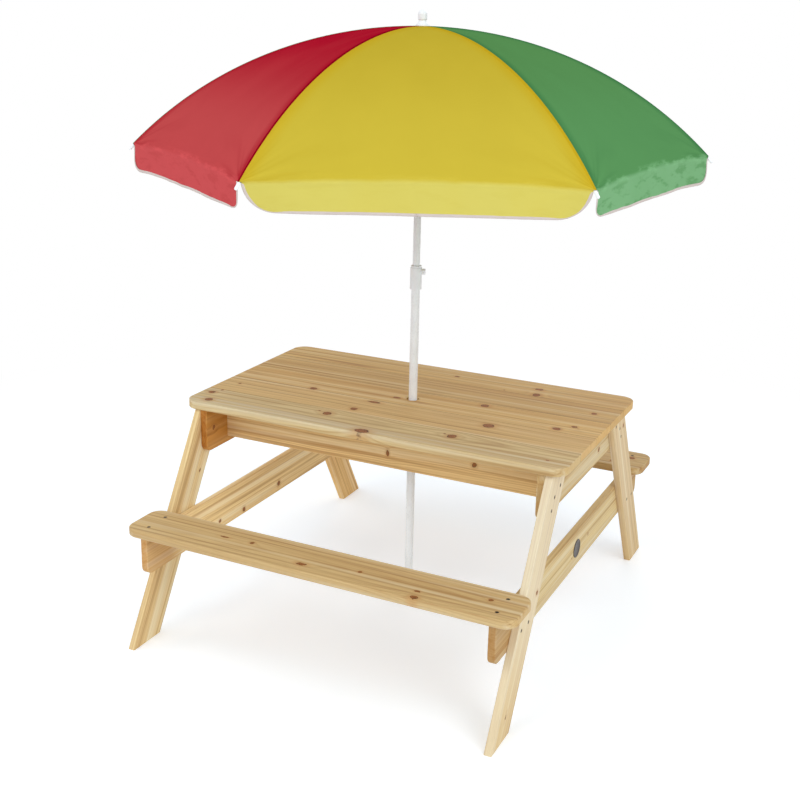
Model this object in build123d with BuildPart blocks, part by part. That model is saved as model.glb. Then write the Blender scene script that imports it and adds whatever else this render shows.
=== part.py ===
from build123d import *
import os
from math import asin, cos, degrees, hypot, pi, radians, sin, sqrt

# Kids' garden table: a small A-frame picnic table with two benches and a six-sided parasol.
# Millimetres. +Z is up, +X runs to the right along the benches, -Y is the front.
# The origin is on the ground under the centre of the tabletop.

# Tabletop: boards glued edge to edge
top_length = 890
board_count = 5
board_wide = 103
top_thick = 18
table_high = 487
top_corner_radius = 32
board_end_ease = 1.5
board_ease = 1
pole_hole = 30

# Legs, cleats, aprons and seat bearers
plank_thick = 16
plank_ease = 1.5
leg_wide = 80
leg_inset = 25
foot_reach = 520
head_reach = 247
cleat_high = 100
cleat_reach = 252
apron_reach = 170
apron_high = 86
bearer_high = 86
bearer_reach = 482
rail_corner_radius = 18

# Benches
bench_end_inset = 5
bench_wide = 116
bench_thick = 18
bench_high = 269
bench_leg_gap = 1
bench_corner_radius = 28
bench_ease = 2

# Countersunk wood screws and beech dowels
screw_head = 8.6
screw_recess = 10
screw_shank = 4.5
screw_hole = 5
screw_fit = 0.1
screw_grip = 14
small_sides = 12
dowel = 8
dowel_fit = 0.1
dowel_in_rail = 20
dowel_in_board = 10
leg_screw_drop_shares = (0.38, 0.52, 0.76)
leg_screw_across_shares = (-0.55, -0.02, 0.0)
bearer_screw_drop_share = 0.61
bearer_screw_across_shares = (-0.25, 0.6)
bench_screw_across_shares = (-0.25, 0.25)
apron_dowel_shares = (0.25, 0.75)

# Pole: a lower tube in a plastic foot, and a narrower tube that slides in it
lower_tube = 19
lower_wall = 1
upper_tube = 16
upper_wall = 0.9
tube_gap = 0.3
foot_wide = 23
foot_high = 30
foot_floor = 4
foot_ease = 1.5
collar_wide = 26
collar_high = 52
collar_top = 794
collar_seat = 26
collar_lip = 5
collar_lip_step = 1.5
insert_long = 250

# Thumbscrew in the collar
thumb_shank = 5
thumb_boss = 11
thumb_boss_long = 1
thumb_head = 13
thumb_head_long = 6
thumb_groove = 2
thumb_groove_count = 8
thumb_drop = 13
thumb_gap = 0.3
thumb_azimuth = 15

# Canopy: one sewn hexagon of cloth with a hanging valance
rib_count = 6
rib_azimuth = 24.5
apex_high = 1297
rim_high = 1044
rim_reach = 612
cloth_thick = 1
cloth_gap = 0.3
cloth_eye = 9
valance_deep = 54
valance_corner_wide = 62
valance_shoulder = 5
valance_start = 5

# Crown, wire, runner and catch
crown_wide = 40
pivot_reach = 16
pivot_drop = 9
crown_below = 8
slot_wide = 3.2
slot_floor = 12
wire = 2
wire_gap = 0.1
runner_drop = 150
runner_flange_wide = 40
runner_flange_high = 12
runner_sleeve_wide = 24
runner_sleeve_high = 34
catch_wide = 3.4
catch_thick = 0.8
catch_long = 34
catch_reach = 3.5
catch_slot_gap = 0.3

# Ribs, end caps and stretchers
rib = 4
rod_sides = 8
rib_sink = 0.2
rib_bend_sink = 1
plate_thick = 2.4
eye = 6
fork_gap = 3
fork_ear = 1
rivet = 2.2
rivet_gap = 0.1
joint_share = 0.3
joint_drop = 6
flat_long = 10
stretcher = 3.6
stretcher_flat = 12
cap_wide = 6.4
cap_long = 15
cap_nose_angles = (0, 35, 70)
cap_bite = 10

# Finial
finial_skirt = 28
finial_skirt_rim = 2
finial_shoulder = 17.5
finial_shoulder_high = 8.5
finial_neck = 16
finial_neck_high = 11
finial_knob = 19
finial_knob_high = 14
finial_high = 33
finial_dome_bands = 5
finial_stem_gap = 0.4
finial_stem_long = 20

overrun = 5

# Places worked out from the sizes
top_under = table_high - top_thick
top_half_wide = board_count * board_wide / 2
leg_outer = top_length / 2 - leg_inset
leg_inner = leg_outer - plank_thick
rail_inner = leg_inner - plank_thick
rail_middle = (leg_inner + rail_inner) / 2
bench_length = top_length - 2 * bench_end_inset
leg_slope = (foot_reach - head_reach) / top_under
leg_level_wide = leg_wide * sqrt(1 + leg_slope**2)
bench_under = bench_high - bench_thick
bench_inner = foot_reach - leg_slope * bench_under + bench_leg_gap
bench_middle = bench_inner + bench_wide / 2

pivot_high = apex_high - pivot_drop
crown_bottom = pivot_high - crown_below
lower_top = collar_top - collar_high + collar_seat
upper_bottom = lower_top - insert_long
thumb_high = collar_top - thumb_drop
thumb_seat = collar_wide / 2 + thumb_boss_long
runner_high = pivot_high - runner_drop
runner_bottom = runner_high - runner_flange_high / 2 - runner_sleeve_high

# The canopy's profile over a rib is an arc that is level at the apex, and beside the rib
# the cloth falls away, which narrows the room under the ridge by ridge_share
rim_drop = apex_high - rim_high
canopy_radius = (rim_reach**2 + rim_drop**2) / (2 * rim_drop)
canopy_centre = apex_high - canopy_radius
rim_angle = asin(rim_reach / canopy_radius)
half_gore = pi / rib_count
ridge_share = cos(half_gore) / hypot(sin(rim_angle), cos(rim_angle) * cos(half_gore))
crown_edge_angle = asin(crown_wide / 2 / cos(half_gore) / canopy_radius)
crown_top = canopy_centre + (canopy_radius - cloth_thick) * cos(crown_edge_angle) - cloth_gap


def over_rib(angle, depth):
    """Point (reach, height) at a depth under the canopy's arc over a rib."""
    radius = canopy_radius - depth
    return radius * sin(angle), canopy_centre + radius * cos(angle)


def write(piece, name):
    """Labels a finished piece and writes its file."""
    piece.label = name
    export_step(piece, f"parts/{name}.step")


def leg_middle(height):
    """Distance of a leg's centre line from the middle of the table at a height."""
    return foot_reach - leg_slope * height - leg_level_wide / 2


def small_form(*sections, sides=small_sides):
    """A form with flat sides through (radius, height) sections, lowest first."""
    with BuildPart() as form:
        for radius, height in sections:
            with BuildSketch(Plane.XY.offset(height)):
                RegularPolygon(radius, sides)
        loft(ruled=True)
    return form.part


def facing(x, y, z, out):
    """Plane at a point whose normal points along out."""
    across = (0, 1, 0) if out[1] == 0 else (1, 0, 0)
    return Plane(origin=(x, y, z), x_dir=across, z_dir=out)


os.makedirs("parts", exist_ok=True)

# Screw places: each is a plane on the face that the head sits in
leg_screw_places = []
bearer_screw_places = []
bench_screw_places = []
for end in (-1, 1):
    for side in (-1, 1):
        for drop, across in zip(leg_screw_drop_shares, leg_screw_across_shares):
            height = top_under - drop * cleat_high
            reach = leg_middle(height) + across * leg_level_wide / 2
            leg_screw_places.append(facing(end * leg_outer, side * reach, height, (end, 0, 0)))
        for across in bearer_screw_across_shares:
            height = bench_under - bearer_screw_drop_share * bearer_high
            reach = leg_middle(height) + across * leg_level_wide / 2
            bearer_screw_places.append(facing(end * leg_outer, side * reach, height, (end, 0, 0)))
        for across in bench_screw_across_shares:
            reach = bench_middle + across * bench_wide
            bench_screw_places.append(facing(end * rail_middle, side * reach, bench_high, (0, 0, 1)))


def screw_holes(places, depth):
    """Cuts a countersunk clearance hole at each place into the open part."""
    hole = small_form(
        (screw_hole / 2, -depth - overrun),
        (screw_hole / 2, (screw_hole - screw_recess) / 2),
        (screw_recess / 2 + overrun, overrun),
    )
    with Locations(*places):
        add(hole, mode=Mode.SUBTRACT)


def screw_group(places, depth, name):
    """One wood screw for each place, its head just under the surface."""
    sink = (screw_recess - screw_head) / 2 - screw_fit
    screw = small_form(
        (screw_shank / 2, -depth - screw_grip),
        (screw_shank / 2, -sink - (screw_head - screw_shank) / 2),
        (screw_head / 2, -sink),
    )
    with BuildPart() as screws:
        with Locations(*places):
            add(screw)
    write(screws.part, name)


def near(places, x_sign, y_sign):
    """The places in one quarter of the table."""
    return [p for p in places if p.origin.X * x_sign > 0 and p.origin.Y * y_sign > 0]


def dowels(places, name):
    """One dowel for each place, across the joint there."""
    peg = small_form((dowel / 2, -dowel_in_rail), (dowel / 2, dowel_in_board))
    with BuildPart() as pegs:
        with Locations(*places):
            add(peg)
    write(pegs.part, name)


def dowel_holes(places):
    """Cuts the dowel holes that cross the joint at each place into the open part."""
    bore = dowel / 2 + dowel_fit
    hole = small_form((bore, -dowel_in_rail), (bore, dowel_in_board))
    with Locations(*places):
        add(hole, mode=Mode.SUBTRACT)


# Tabletop boards, numbered from the front
tabletop_dowel_places = []
for number in range(board_count):
    front = number * board_wide - top_half_wide
    middle = front + board_wide / 2
    with BuildPart() as board:
        with Locations((0, middle, top_under)):
            Box(top_length, board_wide, top_thick, align=(Align.CENTER, Align.CENTER, Align.MIN))
        uprights = board.edges().filter_by(Axis.Z).group_by(Axis.Y)
        if number == 0:
            fillet(uprights[0], top_corner_radius)
            chamfer(board.edges().filter_by(Axis.Z).group_by(Axis.Y)[-1], board_end_ease)
        elif number == board_count - 1:
            fillet(uprights[-1], top_corner_radius)
            chamfer(board.edges().filter_by(Axis.Z).group_by(Axis.Y)[0], board_end_ease)
        else:
            chamfer(board.edges().filter_by(Axis.Z), board_end_ease)
        chamfer(board.faces().filter_by(Axis.Z).edges(), board_ease)
        if abs(middle) < (board_wide + pole_hole) / 2:
            with Locations((0, 0, table_high)):
                Hole(pole_hole / 2)
        for end in (-1, 1):
            tabletop_dowel_places.append((end * rail_middle, middle, top_under))
        dowel_holes(tabletop_dowel_places[-2:])
    write(board.part, f"tabletop_board_{number + 1}")

dowels(tabletop_dowel_places, "tabletop_dowels")

# Aprons between the cleats, and the dowels in their ends
apron_dowel_places = []
for side in (-1, 1):
    middle = side * (apron_reach - plank_thick / 2)
    for share in apron_dowel_shares:
        for end in (-1, 1):
            apron_dowel_places.append(
                facing(end * rail_inner, middle, top_under - share * apron_high, (end, 0, 0))
            )


for side, name in ((-1, "front_apron"), (1, "rear_apron")):
    middle = side * (apron_reach - plank_thick / 2)
    with BuildPart() as apron:
        with Locations((0, middle, top_under)):
            Box(2 * rail_inner, plank_thick, apron_high, align=(Align.CENTER, Align.CENTER, Align.MAX))
        chamfer(apron.edges().filter_by(Axis.X), plank_ease)
        dowel_holes([p for p in apron_dowel_places if p.origin.Y * side > 0])
    write(apron.part, name)

dowels(apron_dowel_places, "apron_dowels")


def end_rail(end, reach, high, top):
    """Upright plank across one end of the table, its lower corners rounded."""
    with BuildPart() as rail:
        with BuildSketch(Plane.YZ.offset(end * rail_middle)):
            with Locations((0, top)):
                Rectangle(2 * reach, high, align=(Align.CENTER, Align.MAX))
            fillet(vertices().group_by(Axis.Y)[0], rail_corner_radius)
        extrude(amount=plank_thick / 2, both=True)
        chamfer(rail.faces().filter_by(Axis.X).edges(), plank_ease)
    return rail.part


for end, name in ((-1, "left"), (1, "right")):
    with BuildPart() as cleat:
        add(end_rail(end, cleat_reach, cleat_high, top_under))
        dowel_holes([p for p in apron_dowel_places if p.origin.X * end > 0])
        dowel_holes([place for place in tabletop_dowel_places if place[0] * end > 0])
    write(cleat.part, f"{name}_cleat")
    with BuildPart() as bearer:
        add(end_rail(end, bearer_reach, bearer_high, bench_under))
    write(bearer.part, f"{name}_seat_bearer")

# Legs: planks cut level at the ground and under the tabletop
for side, side_name in ((-1, "front"), (1, "rear")):
    for end, end_name in ((-1, "left"), (1, "right")):
        with BuildPart() as leg:
            with BuildSketch(Plane.YZ.offset(end * (leg_inner + leg_outer) / 2)):
                with BuildLine():
                    Polyline(
                        (side * foot_reach, 0),
                        (side * head_reach, top_under),
                        (side * (head_reach - leg_level_wide), top_under),
                        (side * (foot_reach - leg_level_wide), 0),
                        close=True,
                    )
                make_face()
            extrude(amount=plank_thick / 2, both=True)
            chamfer(leg.edges().group_by(SortBy.LENGTH)[-1], plank_ease)
            screw_holes(near(leg_screw_places, end, side), plank_thick)
            screw_holes(near(bearer_screw_places, end, side), plank_thick)
        write(leg.part, f"{side_name}_{end_name}_leg")

# Benches
for side, side_name in ((-1, "front"), (1, "rear")):
    with BuildPart() as bench:
        with Locations((0, side * bench_middle, bench_under)):
            Box(bench_length, bench_wide, bench_thick, align=(Align.CENTER, Align.CENTER, Align.MIN))
        fillet(bench.edges().filter_by(Axis.Z), bench_corner_radius)
        chamfer(bench.faces().filter_by(Axis.Z).edges(), bench_ease)
        screw_holes([p for p in bench_screw_places if p.origin.Y * side > 0], bench_thick)
    write(bench.part, f"{side_name}_bench")

screw_group(leg_screw_places, plank_thick, "leg_screws")
screw_group(bearer_screw_places, plank_thick, "bearer_screws")
screw_group(bench_screw_places, bench_thick, "bench_screws")


def turned(name, *points):
    """A closed outline of (radius, height) points, turned about the pole's axis."""
    with BuildPart() as piece:
        with BuildSketch(Plane.XZ):
            with BuildLine():
                Polyline(*points, close=True)
            make_face()
        revolve(axis=Axis.Z)
    piece.part.label = name
    return piece.part


# Plastic foot under the pole
foot_bore = lower_tube / 2 + tube_gap
with BuildPart() as pole_foot:
    Cylinder(foot_wide / 2, foot_high, align=(Align.CENTER, Align.CENTER, Align.MIN))
    chamfer(pole_foot.edges().filter_by(GeomType.CIRCLE), foot_ease)
    with Locations((0, 0, foot_floor)):
        Cylinder(foot_bore, foot_high, align=(Align.CENTER, Align.CENTER, Align.MIN), mode=Mode.SUBTRACT)
write(pole_foot.part, "pole_foot")

# Lower tube
write(
    turned(
        "lower_pole",
        (lower_tube / 2 - lower_wall, foot_floor),
        (lower_tube / 2, foot_floor),
        (lower_tube / 2, lower_top),
        (lower_tube / 2 - lower_wall, lower_top),
    ),
    "lower_pole",
)

# Collar on the lower tube's end, with a boss for the thumbscrew
thumb_plane = Plane(
    origin=(0, 0, thumb_high),
    x_dir=(0, 0, 1),
    z_dir=(cos(radians(thumb_azimuth)), sin(radians(thumb_azimuth)), 0),
)
collar_bore = upper_tube / 2 + tube_gap
with BuildPart() as collar:
    with BuildSketch(Plane.XZ):
        with BuildLine():
            Polyline(
                (lower_tube / 2, collar_top - collar_high),
                (collar_wide / 2, collar_top - collar_high),
                (collar_wide / 2, collar_top - collar_lip),
                (collar_wide / 2 - collar_lip_step, collar_top - collar_lip),
                (collar_wide / 2 - collar_lip_step, collar_top),
                (collar_bore, collar_top),
                (collar_bore, lower_top),
                (lower_tube / 2, lower_top),
                close=True,
            )
        make_face()
    revolve(axis=Axis.Z)
    with BuildSketch(thumb_plane.offset(collar_bore + tube_gap)):
        Circle(thumb_boss / 2)
    extrude(amount=thumb_seat - collar_bore - tube_gap)
    with BuildSketch(thumb_plane):
        Circle(thumb_shank / 2 + thumb_gap)
    extrude(amount=collar_wide, mode=Mode.SUBTRACT)
write(collar.part, "collar")

# Thumbscrew: a shank and a grooved head
with BuildPart() as thumbscrew:
    with BuildSketch(thumb_plane.offset(upper_tube / 2 + thumb_gap)):
        Circle(thumb_shank / 2)
    extrude(amount=thumb_seat - upper_tube / 2)
    with BuildSketch(thumb_plane.offset(thumb_seat + thumb_gap)):
        Circle(thumb_head / 2)
        with PolarLocations(thumb_head / 2, thumb_groove_count):
            Circle(thumb_groove / 2, mode=Mode.SUBTRACT)
    extrude(amount=thumb_head_long)
write(thumbscrew.part, "thumbscrew")

# Upper tube, with the slot that the catch springs through
catch_plane = Plane.XZ
with BuildPart() as upper_pole:
    add(
        turned(
            "upper_pole",
            (upper_tube / 2 - upper_wall, upper_bottom),
            (upper_tube / 2, upper_bottom),
            (upper_tube / 2, crown_top),
            (upper_tube / 2 - upper_wall, crown_top),
        )
    )
    with BuildSketch(catch_plane):
        with Locations((upper_tube / 2, runner_bottom)):
            Rectangle(upper_tube / 2, catch_long, align=(Align.CENTER, Align.MAX))
    extrude(amount=catch_wide / 2 + catch_slot_gap, both=True, mode=Mode.SUBTRACT)
write(upper_pole.part, "upper_pole")

# Catch: a bent steel leaf inside the upper tube, its nose under the runner
leaf_face = upper_tube / 2 - upper_wall - catch_slot_gap
leaf_top = runner_bottom - cloth_gap
with BuildPart() as runner_catch:
    with BuildSketch(catch_plane):
        with BuildLine():
            Polyline(
                (leaf_face, leaf_top - catch_long - catch_reach),
                (leaf_face, leaf_top - catch_long),
                (upper_tube / 2 + catch_reach, leaf_top),
                (upper_tube / 2 + catch_reach - catch_thick, leaf_top),
                (leaf_face - catch_thick, leaf_top - catch_long),
                (leaf_face - catch_thick, leaf_top - catch_long - catch_reach),
                close=True,
            )
        make_face()
    extrude(amount=catch_wide / 2, both=True)
write(runner_catch.part, "runner_catch")


def notched(outer, bore, bottom, top):
    """A ring with a slot for each rib, all the way up."""
    with BuildPart() as ring:
        with BuildSketch(Plane.XY.offset(bottom)):
            Circle(outer)
            Circle(bore, mode=Mode.SUBTRACT)
            with PolarLocations(0, rib_count, start_angle=rib_azimuth):
                with Locations((slot_floor, 0)):
                    Rectangle(outer, slot_wide, align=(Align.MIN, Align.CENTER), mode=Mode.SUBTRACT)
        extrude(amount=top - bottom)
    return ring.part


# Crown, with the groove that holds the wire ring of the rib hinges
wire_turn = rib_azimuth + degrees(half_gore)
with BuildPart() as crown:
    add(notched(crown_wide / 2, upper_tube / 2 + wire_gap / 2, crown_bottom, crown_top))
    with BuildSketch(Plane.XY.offset(crown_bottom)):
        RegularPolygon(
            pivot_reach + wire / 2 + wire_gap, rib_count, major_radius=False, rotation=wire_turn
        )
        RegularPolygon(
            pivot_reach - wire / 2 - wire_gap,
            rib_count,
            major_radius=False,
            rotation=wire_turn,
            mode=Mode.SUBTRACT,
        )
    extrude(amount=crown_below + wire / 2 + wire_gap, mode=Mode.SUBTRACT)
write(crown.part, "crown")

with BuildPart() as crown_wire:
    with BuildLine(Plane.XY.offset(pivot_high)) as ring_path:
        corner = pivot_reach / cos(half_gore)
        corners = [
            (corner * cos(turn), corner * sin(turn))
            for turn in (radians(wire_turn) + 2 * k * half_gore for k in range(rib_count))
        ]
        side_middle = tuple((a + b) / 2 for a, b in zip(corners[0], corners[-1]))
        Line(side_middle, corners[0])
        Polyline(*corners)
        Line(corners[-1], side_middle)
    with BuildSketch(Plane(origin=ring_path.line @ 0, z_dir=ring_path.line % 0)):
        Circle(wire / 2)
    sweep(transition=Transition.RIGHT)
write(crown_wire.part, "crown_wire")

# Runner that slides on the upper tube
with BuildPart() as runner:
    add(
        notched(
            runner_flange_wide / 2,
            upper_tube / 2 + tube_gap,
            runner_high - runner_flange_high / 2,
            runner_high + runner_flange_high / 2,
        )
    )
    with BuildSketch(Plane.XY.offset(runner_bottom)):
        Circle(runner_sleeve_wide / 2)
        Circle(upper_tube / 2 + tube_gap, mode=Mode.SUBTRACT)
    extrude(amount=runner_sleeve_high)
write(runner.part, "runner")

# Finial: a skirt over the cloth, a waist and a domed knob, on a stem in the upper tube
with BuildPart() as finial:
    with BuildSketch(Plane.XZ):
        with BuildLine():
            seat = apex_high + cloth_gap
            stem = upper_tube / 2 - upper_wall - finial_stem_gap
            knob = finial_knob / 2
            dome_middle = apex_high + finial_high - knob
            dome_turns = [k * pi / 2 / finial_dome_bands for k in range(finial_dome_bands + 1)]
            Polyline(
                (0, seat - finial_stem_long),
                (stem, seat - finial_stem_long),
                (stem, seat),
                (finial_skirt / 2, seat),
                (finial_skirt / 2, seat + finial_skirt_rim),
                (finial_shoulder / 2, seat + finial_shoulder_high),
                (finial_neck / 2, seat + finial_neck_high),
                (knob, seat + finial_knob_high),
                *[(knob * cos(turn), dome_middle + knob * sin(turn)) for turn in dome_turns],
                close=True,
            )
        make_face()
    revolve(axis=Axis.Z)
write(finial.part, "finial")

# One rib in the XZ plane, the others are the same form turned about the pole
pivot = (pivot_reach, pivot_high)
rib_depth = (cloth_thick + rib_sink + rib / 2) / ridge_share
rib_bend = over_rib(rim_angle / 2, rib_depth + rib_bend_sink)
rib_tip = over_rib(rim_angle, rib_depth)
with BuildPart() as rib_form:
    with BuildLine(Plane.XZ):
        bow = ThreePointArc(pivot, rib_bend, rib_tip)
    start_share = (crown_wide / 2 - pivot_reach + flat_long) / bow.length
    start = bow @ start_share
    on_rib = bow @ joint_share
    joint = (on_rib.X, on_rib.Z - joint_drop)
    way = bow % 1
    in_cap = (rib_tip[0] + way.X * cap_bite, rib_tip[1] + way.Z * cap_bite)
    with BuildLine(Plane.XZ) as rod_path:
        ThreePointArc((start.X, start.Z), rib_bend, rib_tip)
        Line(rib_tip, in_cap)
    with BuildSketch(Plane(origin=rod_path.line @ 0, z_dir=rod_path.line % 0)):
        RegularPolygon(rib / 2, rod_sides)
    sweep(path=rod_path.line)
    ahead = bow @ (start_share + flat_long / bow.length)
    with BuildSketch(Plane.XZ):
        with Locations(pivot):
            RegularPolygon(eye / 2, small_sides)
        with Locations((ahead.X, ahead.Z)):
            RegularPolygon(rib / 2, small_sides)
        make_hull()
        with Locations(pivot):
            Circle(wire / 2 + wire_gap, mode=Mode.SUBTRACT)
    extrude(amount=plate_thick / 2, both=True)
    for side in (-1, 1):
        with BuildSketch(Plane.XZ.offset(side * (fork_gap + fork_ear) / 2)):
            with Locations(joint, (on_rib.X, on_rib.Z)):
                RegularPolygon(eye / 2, small_sides)
            make_hull()
        extrude(amount=fork_ear / 2, both=True)
    with BuildSketch(Plane.XZ):
        with Locations(joint):
            Circle(rivet / 2)
    extrude(amount=fork_gap / 2 + fork_ear, both=True)

# Cap on a rib's end, along the rib's own direction there
cap_seat = Plane(origin=Vector(rib_tip[0], 0, rib_tip[1]) + way * cloth_gap, z_dir=way)
cap_round = cap_wide / 2
cap_nose = [
    (cap_round * cos(radians(turn)), cap_long - cap_round + cap_round * sin(radians(turn)))
    for turn in cap_nose_angles
]
cap_bore = rib / 2 + wire_gap
with BuildPart() as cap_form:
    with Locations(cap_seat):
        add(small_form((cap_round, 0), *cap_nose))
        add(small_form((cap_bore, -overrun), (cap_bore, cap_bite)), mode=Mode.SUBTRACT)

# One stretcher, from the rib's fork down to the runner
foot = (pivot_reach, runner_high)
reach = hypot(joint[0] - foot[0], joint[1] - foot[1])
along = ((foot[0] - joint[0]) / reach, (foot[1] - joint[1]) / reach)


def on_stretcher(distance):
    """Point (reach, height) at a distance from the fork towards the runner."""
    return joint[0] + along[0] * distance, joint[1] + along[1] * distance


with BuildPart() as stretcher_form:
    rod_start = on_stretcher(stretcher_flat)
    rod_end = on_stretcher(reach - stretcher_flat)
    with BuildSketch(Plane(origin=(rod_start[0], 0, rod_start[1]), z_dir=(along[0], 0, along[1]))):
        RegularPolygon(stretcher / 2, rod_sides)
    extrude(amount=reach - 2 * stretcher_flat)
    for centre, inner in (
        (joint, on_stretcher(stretcher_flat + stretcher)),
        (foot, on_stretcher(reach - stretcher_flat - stretcher)),
    ):
        with BuildSketch(Plane.XZ):
            with Locations(centre):
                RegularPolygon(eye / 2, small_sides)
            with Locations(inner):
                RegularPolygon(stretcher / 2, small_sides)
            make_hull()
        extrude(amount=plate_thick / 2, both=True)
    for centre in (joint, foot):
        with BuildSketch(Plane.XZ):
            with Locations(centre):
                Circle(rivet / 2 + rivet_gap)
        extrude(amount=plate_thick, both=True, mode=Mode.SUBTRACT)


# Half of a gore, from a rib to the middle of the gore, with its half of the valance
gore_way = (cos(half_gore), sin(half_gore), 0)
to_rib = (sin(half_gore), -cos(half_gore), 0)
rim_half = rim_reach * sin(half_gore)
eye_angle = asin(cloth_eye / canopy_radius)


def gore_arc(depth):
    """Arc of a gore's middle, from the rim to the eye, at a depth under its outer face."""
    radius = canopy_radius - depth
    return EllipticalCenterArc(
        (0, canopy_centre),
        radius * cos(half_gore),
        radius,
        start_angle=degrees(pi / 2 - rim_angle),
        arc_size=degrees(rim_angle - eye_angle),
    )


with BuildPart() as half_gore_form:
    with BuildSketch(Plane((0, 0, 0), gore_way, to_rib).offset(cloth_gap / 2)):
        with BuildLine():
            outer = gore_arc(0)
            inner = gore_arc(cloth_thick)
            Line(outer @ 0, inner @ 0)
            Line(outer @ 1, inner @ 1)
        make_face()
    extrude(amount=rim_half)
    split(bisect_by=Plane.XZ, keep=Keep.BOTTOM)
    with BuildSketch(Plane((rim_reach, 0, rim_high), (-to_rib[0], -to_rib[1], 0), gore_way)):
        with BuildLine():
            Polyline(
                (valance_start, -valance_shoulder),
                (valance_start, 0),
                (rim_half - cloth_gap / 2, 0),
                (rim_half - cloth_gap / 2, -valance_deep),
                (valance_corner_wide, -valance_deep),
            )
            TangentArc(
                (valance_corner_wide, -valance_deep),
                (valance_start, -valance_shoulder),
                tangent=(-1, 0),
            )
        make_face()
    extrude(amount=-cloth_thick)

with BuildPart() as canopy_form:
    add(half_gore_form.part)
    mirror(about=Plane.XZ)

# Each rib carries its cap, its stretcher and the cloth on both sides of it
for number in range(rib_count):
    turn = Location((0, 0, 0), (0, 0, rib_azimuth + number * 360 / rib_count))
    for form, name in (
        (rib_form, "rib"),
        (cap_form, "rib_cap"),
        (stretcher_form, "stretcher"),
        (canopy_form, "canopy_at_rib"),
    ):
        with BuildPart() as piece:
            with Locations(turn):
                add(form.part)
        write(piece.part, f"{name}_{number + 1}")
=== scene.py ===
"""Looks of a kids' garden table with two benches and a six-sided parasol."""

import logging
import math
import random
from collections import Counter
from collections.abc import Callable
from dataclasses import dataclass, field
from enum import Enum

import bpy
from mathutils import Matrix, Vector, noise


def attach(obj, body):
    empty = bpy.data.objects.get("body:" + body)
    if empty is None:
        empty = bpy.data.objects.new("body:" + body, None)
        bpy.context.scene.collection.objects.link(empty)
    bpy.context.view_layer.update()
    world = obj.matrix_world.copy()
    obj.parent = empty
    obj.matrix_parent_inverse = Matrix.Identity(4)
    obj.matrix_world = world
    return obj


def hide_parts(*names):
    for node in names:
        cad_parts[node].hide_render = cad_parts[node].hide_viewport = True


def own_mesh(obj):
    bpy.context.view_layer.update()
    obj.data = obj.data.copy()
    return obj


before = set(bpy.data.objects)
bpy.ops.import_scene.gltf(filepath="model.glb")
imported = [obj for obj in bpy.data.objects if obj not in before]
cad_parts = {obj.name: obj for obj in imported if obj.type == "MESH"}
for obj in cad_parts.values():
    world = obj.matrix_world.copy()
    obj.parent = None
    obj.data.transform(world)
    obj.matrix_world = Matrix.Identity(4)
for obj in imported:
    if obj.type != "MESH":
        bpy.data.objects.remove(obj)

log = logging.getLogger("garden_table")

Socket = bpy.types.NodeSocket
Colour = tuple[float, float, float]
Point = tuple[float, float, float]
Value = float | Socket
Streak = Callable[[float, float, float, float], Socket]
Face = tuple[int, ...]
Layers = tuple[tuple[float, float], ...]


def shade(red: int, green: int, blue: int) -> Colour:
    """Linear colour of an 8-bit display colour.

    Args:
        red: Red from 0 to 255.
        green: Green from 0 to 255.
        blue: Blue from 0 to 255.

    Returns:
        The three linear values.
    """

    def linear(level: int) -> float:
        """Linear value of one 8-bit channel."""
        share = level / 255
        return share / 12.92 if share <= 0.04045 else ((share + 0.055) / 1.055) ** 2.4

    return linear(red), linear(green), linear(blue)


def times(colour: Colour, share: float) -> Colour:
    """A colour made darker or lighter by a share."""
    return colour[0] * share, colour[1] * share, colour[2] * share


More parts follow.
